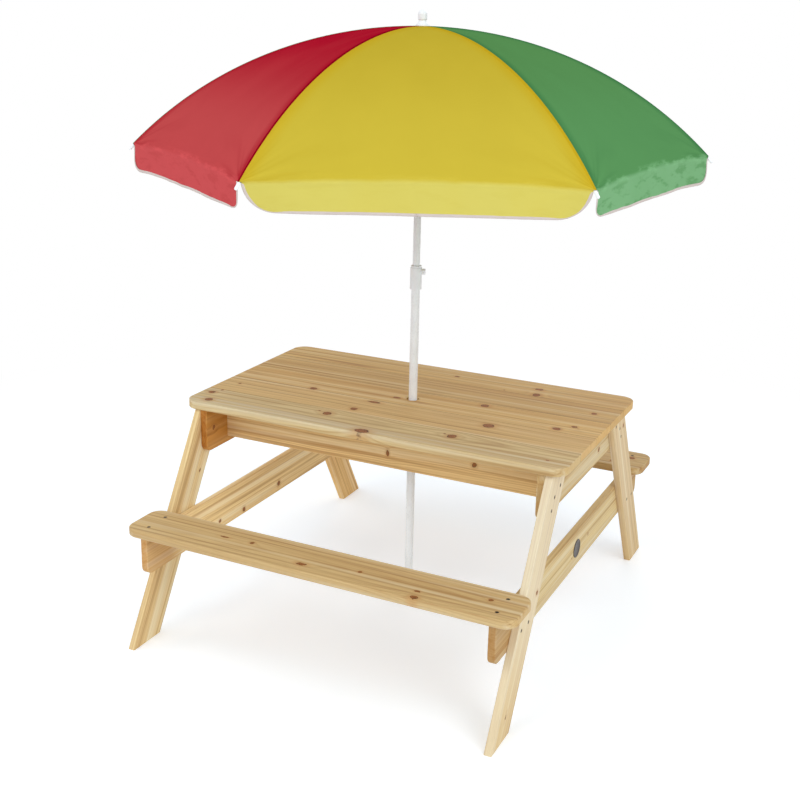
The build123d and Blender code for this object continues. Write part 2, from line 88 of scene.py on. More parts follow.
class Graph:
    """The node graph of one material, built around its shader."""

    def __init__(self, name: str) -> None:
        """Makes the material and keeps its shader.

        Args:
            name: The material's name.
        """
        self.material = bpy.data.materials.new(name)
        self.material.use_nodes = True
        self.tree = self.material.node_tree
        self.shader = self.tree.nodes["Principled BSDF"]

    def node(self, kind: str, *inputs: object, **settings: object) -> bpy.types.Node:
        """Adds a node, its settings, and its inputs in order.

        Args:
            kind: Blender's node type.
            inputs: A value or a socket for each input, None to leave one alone.
            settings: Attributes of the node.

        Returns:
            The new node.
        """
        made = self.tree.nodes.new(kind)
        for key, value in settings.items():
            setattr(made, key, value)
        for socket, value in zip(made.inputs, inputs):
            self.feed(socket, value)
        return made

    def feed(self, socket: Socket, value: object) -> None:
        """Links a socket to another one, or sets its value.

        Args:
            socket: The input.
            value: What goes into it, None to leave it alone.
        """
        if isinstance(value, bpy.types.NodeSocket):
            self.tree.links.new(value, socket)
        elif value is not None:
            if socket.type == "RGBA" and len(value) == 3:
                value = (*value, 1.0)
            socket.default_value = value

    def math(self, operation: str, *inputs: Value) -> Socket:
        """Result of a math node."""
        return self.node("ShaderNodeMath", *inputs, operation=operation).outputs[0]

    def mul(self, first: Value, second: Value) -> Socket:
        """Product of two values."""
        return self.math("MULTIPLY", first, second)

    def div(self, first: Value, second: Value) -> Socket:
        """First value divided by the second."""
        return self.math("DIVIDE", first, second)

    def add(self, first: Value, second: Value) -> Socket:
        """Sum of two values."""
        return self.math("ADD", first, second)

    def sub(self, first: Value, second: Value) -> Socket:
        """First value less the second."""
        return self.math("SUBTRACT", first, second)

    def fit(self, value: Value, scale: Value, start: Value) -> Socket:
        """A value times a scale, plus a start."""
        return self.math("MULTIPLY_ADD", value, scale, start)

    def size(self, value: Value) -> Socket:
        """A value without its sign."""
        return self.math("ABSOLUTE", value)

    def dot(self, place: Socket, axis: Point) -> Socket:
        """Distance of a place along an axis."""
        return self.node("ShaderNodeVectorMath", place, axis, operation="DOT_PRODUCT").outputs["Value"]

    def triple(self, x: Value, y: Value, z: Value) -> Socket:
        """A vector of three values."""
        return self.node("ShaderNodeCombineXYZ", x, y, z).outputs[0]

    def noise(self, place: Socket, scale: float, detail: float = 2.0, rough: float = 0.5) -> Socket:
        """Smooth noise from 0 to 1.

        Args:
            place: Where it is read.
            scale: Its patches per metre.
            detail: Number of finer layers.
            rough: Strength of each layer against the one before.

        Returns:
            The noise.
        """
        made = self.node("ShaderNodeTexNoise")
        for key, value in (("Vector", place), ("Scale", scale), ("Detail", detail), ("Roughness", rough)):
            self.feed(made.inputs[key], value)
        return made.outputs["Fac"]

    def swing(self, value: Socket, size: float) -> Socket:
        """Turns a 0 to 1 value into one that swings by size about zero."""
        return self.fit(value, 2 * size, -size)

    def span(self, value: Socket, low: float, high: float, start: float = 0.0, end: float = 1.0) -> Socket:
        """Smooth step from start to end as a value goes from low to high."""
        kind = "ShaderNodeMapRange"
        return self.node(kind, value, low, high, start, end, interpolation_type="SMOOTHSTEP").outputs[0]

    def blend(self, share: Value, first: object, second: object, how: str = "MIX") -> Socket:
        """Mixes two colours.

        Args:
            share: Share of the second colour.
            first: The first colour.
            second: The second colour.
            how: Blender's way of mixing.

        Returns:
            The mixed colour.
        """
        made = self.node("ShaderNodeMix", data_type="RGBA", blend_type=how)
        for index, value in ((0, share), (6, first), (7, second)):
            self.feed(made.inputs[index], value)
        return made.outputs[2]

    def ramp(self, value: Socket, *stops: tuple[float, Colour]) -> Socket:
        """Colour ramp.

        Args:
            value: Position on the ramp.
            stops: Position and colour of each stop.

        Returns:
            The colour.
        """
        made = self.node("ShaderNodeValToRGB", value)
        elements = made.color_ramp.elements
        while len(elements) < len(stops):
            elements.new(0.5)
        for element, (position, colour) in zip(elements, stops):
            element.position = position
            element.color = (*colour, 1.0)
        return made.outputs[0]

    def place(self) -> Socket:
        """Place on the piece, in its own frame."""
        return self.node("ShaderNodeTexCoord").outputs["Object"]

    def length(self, place: Socket) -> Socket:
        """Length of a vector."""
        return self.node("ShaderNodeVectorMath", place, operation="LENGTH").outputs["Value"]

    def direct(self) -> Socket:
        """Tells what the camera sees, also in a gloss or through something, from what only lights.

        Returns:
            1 for such a ray, otherwise 0.
        """
        rays = self.node("ShaderNodeLightPath").outputs
        seen = self.math("MAXIMUM", rays["Is Camera Ray"], rays["Is Glossy Ray"])
        return self.math("MAXIMUM", seen, rays["Is Transmission Ray"])

    def dress(
        self, colour: object = None, bump: Socket | None = None, depth: float = 0.0, **sockets: object
    ) -> None:
        """Feeds the shader.

        Args:
            colour: Base colour, or None to leave it.
            bump: Height from 0 to 1.
            depth: Height of the bump in metres.
            sockets: Other sockets by name, with _ for a space.
        """
        self.feed(self.shader.inputs["Base Color"], colour)
        if bump is not None:
            made = self.node("ShaderNodeBump")
            made.inputs["Strength"].default_value = 1.0
            made.inputs["Distance"].default_value = depth
            self.feed(made.inputs["Height"], bump)
            self.feed(self.shader.inputs["Normal"], made.outputs[0])
        for key, value in sockets.items():
            self.feed(self.shader.inputs[key.replace("_", " ")], value)


class Surround(Graph):
    """The node graph of the world."""

    def __init__(self, name: str) -> None:
        """Makes the world with an empty graph.

        Args:
            name: The world's name.
        """
        self.world = bpy.data.worlds.new(name)
        self.world.use_nodes = True
        self.tree = self.world.node_tree
        self.tree.nodes.clear()


@dataclass(frozen=True)
class Knot:
    """A knot that goes through a plank, at a place on its wide face."""

    along: float
    across: float
    radius: float
    stretch: float = 1.0


def knots(*rows: tuple[float, ...]) -> tuple[Knot, ...]:
    """Knots from rows of along, across, radius and, where it isn't 1, stretch."""
    return tuple(Knot(*row) for row in rows)


class Grain(Enum):
    """Which way a plank's length and width lie."""

    BENCHWISE = ((1, 0, 0), (0, 1, 0))
    UPRIGHT_BENCHWISE = ((1, 0, 0), (0, 0, 1))
    CROSSWISE = ((0, 1, 0), (0, 0, 1))


@dataclass(frozen=True)
class Stripe:
    """Stripes along a plank: patches per metre, which noise, where they start and fill, strength, colour."""

    long: float
    wide: float
    offset: float
    low: float
    high: float
    strength: float
    colour: tuple[int, int, int]


@dataclass(frozen=True)
class Pine:
    """Bare sanded pine with its rings, knots and streaks."""

    name: str
    along: Point
    across: Point
    middle: Point
    seed: int
    knots: tuple[Knot, ...] = ()
    tint: Colour = (1.0, 1.0, 1.0)
    ring: float = 0.0052
    straight: bool = False
    end_share: float = 0.5
    end_shade: tuple[int, int, int] = (186, 134, 74)
    # Strength of the painted shade that darkens a plank towards its ends.
    stain_and_shade: float = 0.0
    ringed: float = 1.0
    # Strength of the painted light that pales a plank towards its upper end.
    painted_light: float = 0.0
    joints: tuple[float, ...] = ()
    stripes: tuple[Stripe, ...] = (
        Stripe(0.8, 22, 21, 0.42, 0.66, 0.5, (202, 160, 103)),
        Stripe(1.1, 120, 57, 0.48, 0.68, 0.62, (174, 127, 73)),
        Stripe(1.0, 60, 77, 0.46, 0.66, 0.62, (242, 224, 184)),
    )

    def make(self) -> bpy.types.Material:
        """Builds the material.

        Returns:
            The plank's own material.
        """
        draw = random.Random(self.seed)
        g = Graph(self.name)
        spot = g.node("ShaderNodeVectorMath", g.place(), self.middle, operation="SUBTRACT").outputs[0]
        deep = Vector(self.along).cross(Vector(self.across))
        u, v, w = g.dot(spot, self.along), g.dot(spot, self.across), g.dot(spot, tuple(deep))
        shift = draw.uniform(0, 40)

        def streak(long: float, wide: float, detail: float, offset: float) -> Socket:
            """Noise with so many patches per metre along the plank and across it."""
            place = g.triple(g.fit(u, long, offset + shift), g.mul(v, wide), g.mul(w, wide))
            return g.noise(place, 1.0, detail)

        radius = self.ring_radius(g, (u, v, w), streak, draw)
        core, radius = self.around_knots(g, spot, (u, v), radius, draw)
        phase = g.div(radius, self.ring)
        luck = g.node("ShaderNodeTexWhiteNoise", noise_dimensions="1D")
        g.feed(luck.inputs["W"], g.add(g.math("FLOOR", phase), float(self.seed)))
        late = g.ramp(
            g.math("FRACT", phase),
            (0.0, (0.25, 0.25, 0.25)),
            (0.12, (0.0, 0.0, 0.0)),
            (0.5, (0.2, 0.2, 0.2)),
            (0.86, (0.95, 0.95, 0.95)),
            (1.0, (0.3, 0.3, 0.3)),
        )
        strength = g.fit(luck.outputs["Value"], 0.8 * self.ringed, 0.2 * self.ringed)
        late = g.mul(late, strength)
        colour = self.grain_colour(g, u, late, streak)
        fibre = streak(7, 420, 2, 33)
        colour = g.blend(g.span(fibre, 0.25, 0.75, 0.0, 0.16), colour, self.wood(170, 120, 68))
        height = g.fit(fibre, 0.5, g.mul(late, 0.5))
        if core is not None:
            colour = self.knot_colour(g, spot, core, colour)
        facing = g.node("ShaderNodeTexCoord").outputs["Normal"]
        end = g.span(g.size(g.dot(facing, self.along)), 0.75, 0.95)
        colour = g.blend(g.mul(end, self.end_share), colour, self.wood(*self.end_shade))
        # Painted shade: darker and oranger towards the plank's ends, standing in for the shade under the
        # benches.
        if self.stain_and_shade:
            tip = g.span(g.size(u), 0.35, 0.41, 0.0, self.stain_and_shade)
            colour = g.blend(tip, colour, self.wood(170, 108, 48))
        for joint in self.joints:
            apart = g.size(g.sub(v, joint))
            colour = g.blend(g.span(apart, 0.0004, 0.0017, 0.6, 0.0), colour, self.wood(128, 86, 46))
        rough = g.span(late, 0.0, 1.0, 0.62, 0.5)
        g.dress(colour, height, 0.00022, Roughness=rough, Specular_IOR_Level=0.14)
        return g.material

    def ring_radius(
        self, g: Graph, place: tuple[Socket, Socket, Socket], streak: Streak, draw: random.Random
    ) -> Socket:
        """Distance from the pith, which wanders along the plank.

        Args:
            g: The material's graph.
            place: Distances along, across and into the plank.
            streak: Maker of drawn-out noise.
            draw: The plank's own random source.

        Returns:
            The distance in metres.
        """
        u, v, w = place
        side = draw.choice((-1, 1))
        pith_v = draw.uniform(0.07, 0.12) * side if self.straight else draw.uniform(-0.035, 0.035)
        pith_w = draw.choice((-1, 1)) * (0.02 if self.straight else draw.uniform(0.03, 0.055))
        tilt_v, tilt_w = draw.uniform(-0.015, 0.015), draw.uniform(0.02, 0.05) * draw.choice((-1, 1))
        off_v = g.add(g.fit(u, -tilt_v, -pith_v), g.swing(streak(2.2, 9, 2, 3), 0.012))
        off_w = g.add(g.fit(u, -tilt_w, -pith_w), g.swing(streak(1.6, 7, 2, 9), 0.012))
        flat = g.triple(g.add(v, off_v), g.add(w, off_w), 0.0)
        return g.add(g.length(flat), g.swing(streak(9, 55, 2, 15), 0.0009))

    def around_knots(
        self, g: Graph, spot: Socket, place: tuple[Socket, Socket], radius: Socket, draw: random.Random
    ) -> tuple[Socket | None, Socket]:
        """Bends the rings round the knots.

        Args:
            g: The material's graph.
            spot: Place on the plank.
            place: Distances along and across the plank.
            radius: Distance from the pith.
            draw: The plank's own random source.

        Returns:
            Distance to the nearest knot in its own radii, or None, and the bent distance from the pith.
        """
        core = None
        ragged = g.swing(g.noise(spot, 150.0, 2.0), 0.0026)
        for knot in self.knots:
            du = g.fit(place[0], 1 / knot.stretch, -knot.along / knot.stretch)
            dv = g.sub(place[1], knot.across)
            far = g.length(g.triple(du, dv, 0.0))
            pull = g.math("POWER", math.e, g.div(far, -1.9 * knot.radius))
            radius = g.fit(pull, 1.5 * knot.radius * draw.choice((-1, 1)), radius)
            near = g.div(g.add(far, ragged), knot.radius)
            core = near if core is None else g.math("MINIMUM", core, near)
        return core, radius

    def grain_colour(self, g: Graph, u: Socket, late: Socket, streak: Streak) -> Socket:
        """Colour of early and late wood with the stripes of the board, and the painted light that pales some
        planks towards their upper end.

        Args:
            g: The material's graph.
            u: Distance along the plank.
            late: Share of late wood.
            streak: Maker of drawn-out noise.

        Returns:
            The colour.
        """
        colour = g.blend(late, self.wood(234, 204, 146), self.wood(187, 140, 82))
        for s in self.stripes:
            share = g.span(streak(s.long, s.wide, 3, s.offset), s.low, s.high, 0.0, s.strength)
            colour = g.blend(share, colour, self.wood(*s.colour))
        fleck = g.span(streak(26, 900, 1, 45), 0.62, 0.8, 0.0, 0.25)
        colour = g.blend(fleck, colour, shade(160, 112, 66))
        # Painted light: paler towards the plank's upper end, as where the right lamp falls on the right
        # legs.
        if self.painted_light:
            pale = g.span(u, -0.26, 0.02, 0.3 * self.painted_light, self.painted_light)
            colour = g.blend(pale, colour, shade(242, 234, 212))
        return colour

    def wood(self, red: int, green: int, blue: int) -> Colour:
        """A display colour in this plank's tint."""
        return tuple(part * tint for part, tint in zip(shade(red, green, blue), self.tint))

    def knot_colour(self, g: Graph, spot: Socket, core: Socket, colour: Socket) -> Socket:
        """Lays the knots and the darker wood round them over the grain.

        Args:
            g: The material's graph.
            spot: Place on the plank.
            core: Distance to the nearest knot in its own radii.
            colour: Colour of the grain.

        Returns:
            The colour with the knots.
        """
        patch = g.noise(spot, 95.0, 2.0)
        colour = g.blend(g.span(core, 1.0, 2.6, 0.4, 0.0), colour, shade(192, 134, 76))
        rings = g.fit(g.math("SINE", g.mul(core, 17.0)), 0.5, 0.5)
        heart = g.blend(rings, shade(164, 104, 58), shade(128, 74, 40))
        heart = g.blend(g.span(patch, 0.55, 0.7, 0.0, 0.5), heart, shade(96, 54, 30))
        rim = g.mul(g.span(core, 0.7, 1.0), g.span(patch, 0.36, 0.56, 0.1, 1.0))
        heart = g.blend(rim, heart, shade(68, 36, 22))
        return g.blend(g.span(core, 0.92, 1.12, 0.95, 0.0), colour, heart)


@dataclass(frozen=True)
class Moulded:
    """Moulded plastic with a faint orange peel."""

    name: str
    colour: Colour
    rough: float = 0.38

    def make(self) -> bpy.types.Material:
        """Builds the material.

        Returns:
            The finish.
        """
        g = Graph(self.name)
        spot = g.place()
        cloud = g.noise(spot, 60.0, 3.0)
        colour = g.blend(g.span(cloud, 0.3, 0.7, 0.0, 0.5), self.colour, times(self.colour, 0.93))
        rough = g.span(g.noise(spot, 240.0, 2.0), 0.3, 0.7, self.rough - 0.05, self.rough + 0.08)
        g.dress(colour, g.noise(spot, 1400.0, 2.0), 0.00004, Roughness=rough)
        return g.material


@dataclass(frozen=True)
class Metal:
    """Bare or plated metal with fine marks."""

    name: str
    colour: Colour
    rough: float = 0.35
    metallic: float = 1.0

    def make(self) -> bpy.types.Material:
        """Builds the material.

        Returns:
            The finish.
        """
        g = Graph(self.name)
        spot = g.place()
        # Darker stain patches, the metal's own colour.
        stain_and_shade = g.noise(spot, 320.0, 4.0, 0.65)
        colour = g.blend(g.span(stain_and_shade, 0.35, 0.7), self.colour, times(self.colour, 0.6))
        rough = g.span(g.noise(spot, 700.0, 2.0), 0.3, 0.7, self.rough, self.rough + 0.18)
        g.dress(colour, g.noise(spot, 2600.0, 2.0), 0.00003, Roughness=rough, Metallic=self.metallic)
        return g.material


@dataclass(frozen=True)
class Cloth:
    """Plain-woven polyester, paler where it hangs below the rim and crumpled along that crease, with painted
    sheen on its slope and painted highlights and shade along the crease and round the rib's tips.
    """

    name: str
    high: Colour
    low: Colour
    hang: Colour
    taut: Colour
    turn: float
    rim: float = 1.044
    fade_low: float = 1.10
    fade_high: float = 1.275
    thread: float = 0.0009
    rim_half: float = 0.306
    crease_rise: float = 0.009
    wander: float = 0.003
    # Strength of the painted highlights and shade along the crease.
    streaks: float = 0.5
    pull_reach: float = 0.08

    def make(self) -> bpy.types.Material:
        """Builds the material.

        Returns:
            The cloth, woven along and across its gore.
        """
        g = Graph(self.name)
        spot = g.place()
        facing = math.radians(self.turn)
        weft = g.dot(spot, (-math.sin(facing), math.cos(facing), 0.0))
        out = g.dot(spot, (math.cos(facing) * 0.92, math.sin(facing) * 0.92, -0.38))
        high = g.dot(spot, (0.0, 0.0, 1.0))
        threads = g.mul(*(g.math("SINE", g.mul(way, 2 * math.pi / self.thread)) for way in (weft, out)))
        slack = g.noise(g.triple(g.mul(weft, 2.0), out, 0.0), 5.0, 3.0, 0.5)
        along = g.triple(g.mul(weft, 0.3), g.mul(high, 1.3), g.mul(out, 0.6))
        crumple = g.noise(along, 60.0, 4.0, 0.6)
        aside = g.size(weft)
        lobe = g.sub(1.0, g.math("POWER", g.div(aside, self.rim_half), 2.5))
        crease = g.fit(lobe, self.crease_rise, self.rim - 0.003)
        wander = g.swing(g.noise(spot, 16.0, 2.0), self.wander)
        line = g.add(g.sub(high, crease), wander)
        # Painted sheen: deeper colour at the top, fading to the paler low colour down the slope, as light
        # washes the lower cloth.
        body = g.blend(g.span(high, self.fade_low, self.fade_high), self.low, self.high)
        reach = g.dot(spot, (math.cos(facing), math.sin(facing), 0.0))
        edge = g.mul(g.size(reach), math.tan(math.pi / 6))
        beside = g.sub(edge, aside)
        over = g.span(high, self.rim - 0.004, self.rim + 0.004)
        tight = g.mul(g.span(beside, 0.0, 0.034, 0.8, 0.0), over)
        body = g.blend(tight, body, self.taut)
        # Painted light and shade of the pulls that spread from the rib's tip.
        body = self.pull_light_and_shade(g, body, aside, g.sub(high, self.rim))
        colour = g.blend(g.span(line, -0.005, 0.005), self.hang, body)
        # Painted sheen: paler patches where the cloth hangs slack.
        colour = g.blend(g.span(slack, 0.35, 0.7, 0.0, 0.12), colour, times(self.low, 1.15))
        near = g.span(g.size(line), 0.002, 0.012, 1.0, 0.0)
        # Painted highlight: pale streaks along the crease at the rim, standing in for light on its crinkles.
        crease_highlight = g.mul(near, g.span(crumple, 0.46, 0.62, 0.0, 0.7 * self.streaks))
        colour = g.blend(crease_highlight, colour, times(self.hang, 1.22))
        # Painted shade: darker smudges on the valance just below the crease, standing in for the shade of
        # its wrinkles.
        below = g.span(high, self.rim + 0.006, self.rim - 0.012)
        wrinkle_noise = g.noise(g.triple(g.mul(weft, 0.35), 0.0, high), 45.0, 3.0, 0.6)
        wrinkle_shade = g.mul(below, g.span(wrinkle_noise, 0.5, 0.38, 0.0, 0.7 * self.streaks))
        colour = g.blend(wrinkle_shade, colour, times(self.low, 0.95))
        crumple = g.mul(crumple, g.fit(near, 2.2, 0.3))
        height = g.fit(threads, 0.05, crumple)
        g.dress(colour, height, 0.0006, Roughness=0.75, Specular_IOR_Level=0.0)
        return g.material

    def pull_light_and_shade(self, g: Graph, body: Socket, aside: Socket, rise: Socket) -> Socket:
        """Painted light and shade of the pulls in the cloth that spread from the rib's tip.

        Args:
            g: The material's graph.
            body: Colour of the cloth.
            aside: Distance from the gore's middle.
            rise: Height over the rim.

        Returns:
            The colour with the painted light and shade of the pulls.
        """
        inner = g.sub(self.rim_half, aside)
        away = g.length(g.triple(inner, g.mul(rise, 1.5), 0.0))
        bearing = g.math("ARCTAN2", rise, inner)
        pull = g.noise(g.triple(g.mul(bearing, 5.5), g.mul(away, 4.0), 0.0), 1.0, 1.0)
        strong = g.math("POWER", math.e, g.div(away, -self.pull_reach))
        light = g.mul(strong, g.span(pull, 0.5, 0.68, 0.0, 0.4))
        dark = g.mul(strong, g.span(pull, 0.5, 0.3, 0.0, 0.7))
        return g.blend(dark, g.blend(light, body, times(self.low, 1.25)), times(self.taut, 0.85))


def mesh_piece(
    name: str, points: list[Vector], faces: list[Face], body: str | None, smooth: bool = True
) -> bpy.types.Object:
    """Makes a piece of mesh in the row frame and lets it ride on a body.

    Args:
        name: The piece's name.
        points: Its corners.
        faces: Its faces, as indices of corners.
        body: The body that carries it, or None for a piece of the studio.
        smooth: Whether its faces are shaded smooth.

    Returns:
        The new object.
    """
    mesh = bpy.data.meshes.new(name)
    mesh.from_pydata([tuple(p) for p in points], [], faces)
    mesh.validate()
    mesh.polygons.foreach_set("use_smooth", [smooth] * len(mesh.polygons))
    made = bpy.data.objects.new(name, mesh)
    bpy.context.scene.collection.objects.link(made)
    if body is not None:
        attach(made, body)
    return made


def around(count: int) -> list[tuple[float, float]]:
    """Cosine and sine of evenly spaced directions, once round."""
    turns = [2 * math.pi * step / count for step in range(count)]
    return [(math.cos(turn), math.sin(turn)) for turn in turns]


def grid_faces(rows: int, columns: int, closed: bool = False, flip: bool = False) -> list[Face]:
    """Faces of a grid of points, listed row by row.

    Args:
        rows: Number of rows of points.
        columns: Number of points in a row.
        closed: Whether each row closes on itself.
        flip: Whether the faces look the other way.

    Returns:
        The faces, as indices of points.
    """
    faces = []
    for row in range(rows - 1):
        for column in range(columns if closed else columns - 1):
            first, after = row * columns, (column + 1) % columns
            face = (first + column, first + after, first + columns + after, first + columns + column)
            faces.append(face[::-1] if flip else face)
    return faces


def paint(node: str, material: bpy.types.Material) -> None:
    """Gives a node of the frame one material all over.

    Args:
        node: The node's name.
        material: Its finish.
    """
    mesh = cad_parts[node].data
    mesh.materials.clear()
    mesh.materials.append(material)
    log.info("finished %s", node)


@dataclass
class Table:
    """The wooden table: each plank is cut from its own piece of pine."""

    board_wide: float = 0.103
    top_middle: float = 0.478
    apron_out: float = 0.162
    apron_middle: float = 0.426
    rail_out: float = 0.396
    cleat_middle: float = 0.419
    bearer_middle: float = 0.208
    bench_out: float = 0.433
    bench_middle: float = 0.26
    leg_out: float = 0.412
    leg_foot: float = 0.520
    leg_middle: float = 0.2345
    leg_slope: float = 0.582
    leg_half: float = 0.0463
    pale_end: tuple[int, int, int] = (222, 184, 122)
    board_tints: tuple[Colour, ...] = (
        (0.88, 0.93, 1.02),
        (0.92, 0.88, 0.84),
        (0.93, 0.86, 0.74),
        (0.86, 0.80, 0.70),
        (0.90, 0.84, 0.74),
    )
    top_knots: tuple[Knot, ...] = knots(
        (-0.119, -0.184, 0.0095), (-0.142, -0.177, 0.0030), (-0.082, -0.128, 0.0080),
        (-0.066, -0.065, 0.0050, 2.8), (-0.233, -0.0445, 0.0080), (-0.002, -0.2465, 0.0105, 1.5),
        (0.1765, -0.185, 0.0098), (0.157, -0.178, 0.0025), (0.219, -0.0866, 0.0112, 1.1),
        (0.162, 0.034, 0.0085, 1.1), (0.236, 0.165, 0.0105, 0.8), (0.228, 0.2075, 0.0062, 1.5),
        (0.352, -0.034, 0.0080, 1.1), (0.382, -0.004, 0.0052, 1.3), (0.393, 0.101, 0.0060),
        (-0.420, -0.182, 0.0075), (-0.396, -0.2297, 0.0090), (-0.407, -0.158, 0.0030),
        (-0.4005, -0.096, 0.0035), (-0.036, -0.011, 0.0050, 1.8), (0.158, 0.1636, 0.0025),
        (0.021, 0.207, 0.0035, 1.6), (0.397, -0.220, 0.0030),
    )
    bench_knots: tuple[Knot, ...] = knots(
        (-0.226, 0.005, 0.0025, 4.0), (-0.161, 0.007, 0.0045), (-0.0226, -0.029, 0.0050, 2.2),
        (0.097, -0.004, 0.0035), (0.236, -0.050, 0.0060, 1.4), (0.232, -0.025, 0.0035, 1.6),
        (0.369, 0.009, 0.0045),
    )
    leg_knots: dict[tuple[int, int], tuple[Knot, ...]] = field(
        default_factory=lambda: {
            (-1, 1): knots((-0.2187, 0.004, 0.0018, 4.0)),
            (1, -1): knots((-0.2590, -0.0430, 0.0040, 1.5)),
            (-1, -1): knots((0.118, -0.0207, 0.0016, 2.0)),
        }
    )

    def plank(
        self, node: str, ways: tuple[Point, Point], middle: Point, seed: int, marks: tuple[Knot, ...],
        tint: Colour, name: str = "", **more: object,
    ) -> None:
        """Gives a plank's node a pine of its own, of the node's name or another."""
        paint(node, Pine(f"{name or node}_pine", *ways, middle, seed, marks, tint, **more).make())

    def boards(self) -> None:
        """Finishes the five boards of the top."""
        last = len(self.board_tints) - 1
        for number, tint in enumerate(self.board_tints):
            middle = (number - last // 2) * self.board_wide
            marks = tuple(
                Knot(k.along, k.across - middle, k.radius, k.stretch)
                for k in self.top_knots
                if abs(k.across - middle) < self.board_wide / 2 + 0.01
            )
            self.plank(
                f"tabletop_board_{number + 1}",
                Grain.BENCHWISE.value,
                (0, middle, self.top_middle),
                31 + number * 7,
                marks,
                tint,
                straight=number in (1, 3),
                end_share=0.75,
                end_shade=self.pale_end,
                joints=tuple(j * self.board_wide / 2 for j in (-1, 1) if 0 <= number + j <= last),
            )

    def rails(self) -> None:
        """Finishes the aprons, cleats and seat bearers."""
        ways = Grain.UPRIGHT_BENCHWISE.value
        marks = knots((0.022, -0.010, 0.0062, 0.6), (0.223, 0.001, 0.005), (-0.25, 0.02, 0.003))
        at = (0, -self.apron_out, self.apron_middle)
        self.plank("front_apron", ways, at, 5, marks, (1.06, 1.02, 1.0), straight=True)
        at = (0, self.apron_out, self.apron_middle)
        self.plank("rear_apron", ways, at, 6, knots((0.1, 0.01, 0.005)), (0.93, 0.91, 0.9))
        ways = Grain.CROSSWISE.value
        cleat_marks = knots((-0.2245, 0.002, 0.0048), (0.12, -0.02, 0.005))
        left = knots((0.052, -0.022, 0.006), (-0.1075, -0.0315, 0.005), (-0.209, -0.023, 0.004))
        right = knots((0.082, 0.002, 0.0035, 0.5), (-0.03, -0.012, 0.0015))
        for side, name, cleat_tint_and_shade, marks, tint in (
            # The left cleat's deep orange-brown tint is painted shade: it stands in for the shade under the
            # tabletop.
            (-1, "left", (0.76, 0.48, 0.22), left, (1.2, 1.24, 1.3)),
            (1, "right", (0.9, 0.95, 1.0), right, (0.92, 0.97, 1.02)),
        ):
            at = (side * self.rail_out, 0, self.cleat_middle)
            self.plank(f"{name}_cleat", ways, at, 12 + side, cleat_marks, cleat_tint_and_shade)
            at = (side * self.rail_out, 0, self.bearer_middle)
            # The bearers' darker ends are painted shade from the benches over them.
            more = {"name": f"{name}_bearer", "straight": True, "ringed": 0.6, "stain_and_shade": 0.45}
            self.plank(f"{name}_seat_bearer", ways, at, 17 + side, marks, tint, **more)

    def legs(self) -> None:
        """Finishes the four legs, grain along each one's slope."""
        reach = self.leg_foot - self.leg_slope * self.leg_middle - self.leg_half
        for side, side_name in ((-1, "front"), (1, "rear")):
            along = Vector((0, -side * self.leg_slope, 1)).normalized()
            ways = tuple(along), tuple(Vector((1, 0, 0)).cross(along))
            for end, end_name in ((-1, "left"), (1, "right")):
                seed = 50 + 3 * side + end
                draw = random.Random(seed)
                marks = tuple(
                    Knot(draw.uniform(-0.24, 0.24), draw.uniform(-0.03, 0.03), draw.uniform(0.003, 0.005))
                    for _ in range(2 if end < 0 else 1)
                )
                marks += self.leg_knots.get((side, end), ())
                tint = (1.0, 1.02, 1.06) if end > 0 else (1.12, 1.2, 1.34) if side < 0 else (1.18, 1.1, 0.98)
                # The right legs get painted light, paler towards the top, where they face the right lamp.
                painted_light = (0.5 if side < 0 else 0.25) if end > 0 else 0.0
                at = (end * self.leg_out, side * reach, self.leg_middle)
                more = {"straight": True, "ringed": 0.7, "painted_light": painted_light}
                self.plank(f"{side_name}_{end_name}_leg", ways, at, seed, marks, tint, **more)

    def benches(self) -> None:
        """Finishes both benches."""
        ways = Grain.BENCHWISE.value
        at = (0, -self.bench_out, self.bench_middle)
        more = {"ringed": 0.45, "end_share": 0.4, "end_shade": self.pale_end}
        self.plank("front_bench", ways, at, 71, self.bench_knots, (0.86, 0.85, 0.86), **more)
        at = (0, self.bench_out, self.bench_middle)
        marks = knots((0.40, 0.01, 0.007), (0.36, -0.03, 0.004), (-0.1, 0.02, 0.006))
        self.plank("rear_bench", ways, at, 73, marks, (0.8, 0.78, 0.76), ringed=0.6)

    def dowels(self) -> None:
        """Finishes the dowels hidden in the cleats and aprons."""
        beech = Moulded("beech_dowel", shade(212, 176, 132), 0.6).make()
        for node in ("tabletop_dowels", "apron_dowels"):
            paint(node, beech)

    def dress(self) -> None:
        """Finishes every wooden piece."""
        self.boards()
        self.rails()
        self.legs()
        self.benches()
        self.dowels()


